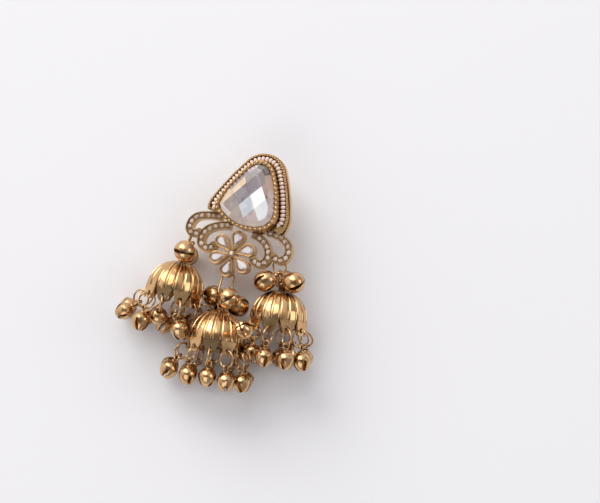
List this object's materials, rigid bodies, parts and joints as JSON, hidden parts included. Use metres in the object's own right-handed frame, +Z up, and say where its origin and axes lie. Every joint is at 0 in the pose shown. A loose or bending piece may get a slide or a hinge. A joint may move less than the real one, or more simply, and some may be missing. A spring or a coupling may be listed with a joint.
{
  "type": "jhumka earring",
  "caption": "Stud earring for the left ear: a triangular crystal head with a beaded rim, scrolls and a stone flower, three hanging fluted domes and clusters of slit bells.",
  "frame": {"origin": "middle of the bounding box, on the surface the earring lies on", "axes": "+Z up from that surface, +Y towards the head, +X towards the head's right seen from above"},
  "size_m": [0.0577, 0.0695, 0.0244],
  "materials": {
    "antique_gold": "matt antique gold plating, darker in the recesses",
    "gold_wire": "satin gold plating",
    "crystal": "clear, faceted, foiled behind",
    "foiled_stone": "clear, faceted, foiled behind",
    "small_stone": "clear with a warm foil, faceted",
    "seed_beads": "ivory pearl"
  },
  "bodies": {
    "root": {"bead_strip": "seed_beads", "bell_left_1": "antique_gold", "bell_left_10": "antique_gold", "bell_left_2": "antique_gold", "bell_left_3": "antique_gold", "bell_left_4": "antique_gold", "bell_left_5": "antique_gold", "bell_left_6": "antique_gold", "bell_left_7": "antique_gold", "bell_left_8": "antique_gold", "bell_left_9": "antique_gold", "bell_middle_1": "antique_gold", "bell_middle_10": "antique_gold", "bell_middle_2": "antique_gold", "bell_middle_3": "antique_gold", "bell_middle_4": "antique_gold", "bell_middle_5": "antique_gold", "bell_middle_6": "antique_gold", "bell_middle_7": "antique_gold", "bell_middle_8": "antique_gold", "bell_middle_9": "antique_gold", "bell_right_1": "antique_gold", "bell_right_10": "antique_gold", "bell_right_2": "antique_gold", "bell_right_3": "antique_gold", "bell_right_4": "antique_gold", "bell_right_5": "antique_gold", "bell_right_6": "antique_gold", "bell_right_7": "antique_gold", "bell_right_8": "antique_gold", "bell_right_9": "antique_gold", "centre_stone": "crystal", "cluster_ring_left": "gold_wire", "cluster_ring_middle": "gold_wire", "cluster_ring_right": "gold_wire", "dome_left": "antique_gold", "dome_middle": "antique_gold", "dome_right": "antique_gold", "ear_post": "antique_gold", "hanger_link_left": "gold_wire", "hanger_link_middle": "gold_wire", "hanger_link_right": "gold_wire", "main_stone": "crystal", "pave_stones": "small_stone", "petal_stones": "foiled_stone", "rim_rings_left": "gold_wire", "rim_rings_middle": "gold_wire", "rim_rings_right": "gold_wire", "setting": "antique_gold", "top_bell_left_1": "antique_gold", "top_bell_left_2": "antique_gold", "top_bell_middle_1": "antique_gold", "top_bell_middle_2": "antique_gold", "top_bell_middle_3": "antique_gold", "top_bell_right_1": "antique_gold", "top_bell_right_2": "antique_gold", "top_bell_right_3": "antique_gold"}
  },
  "joints": []
}
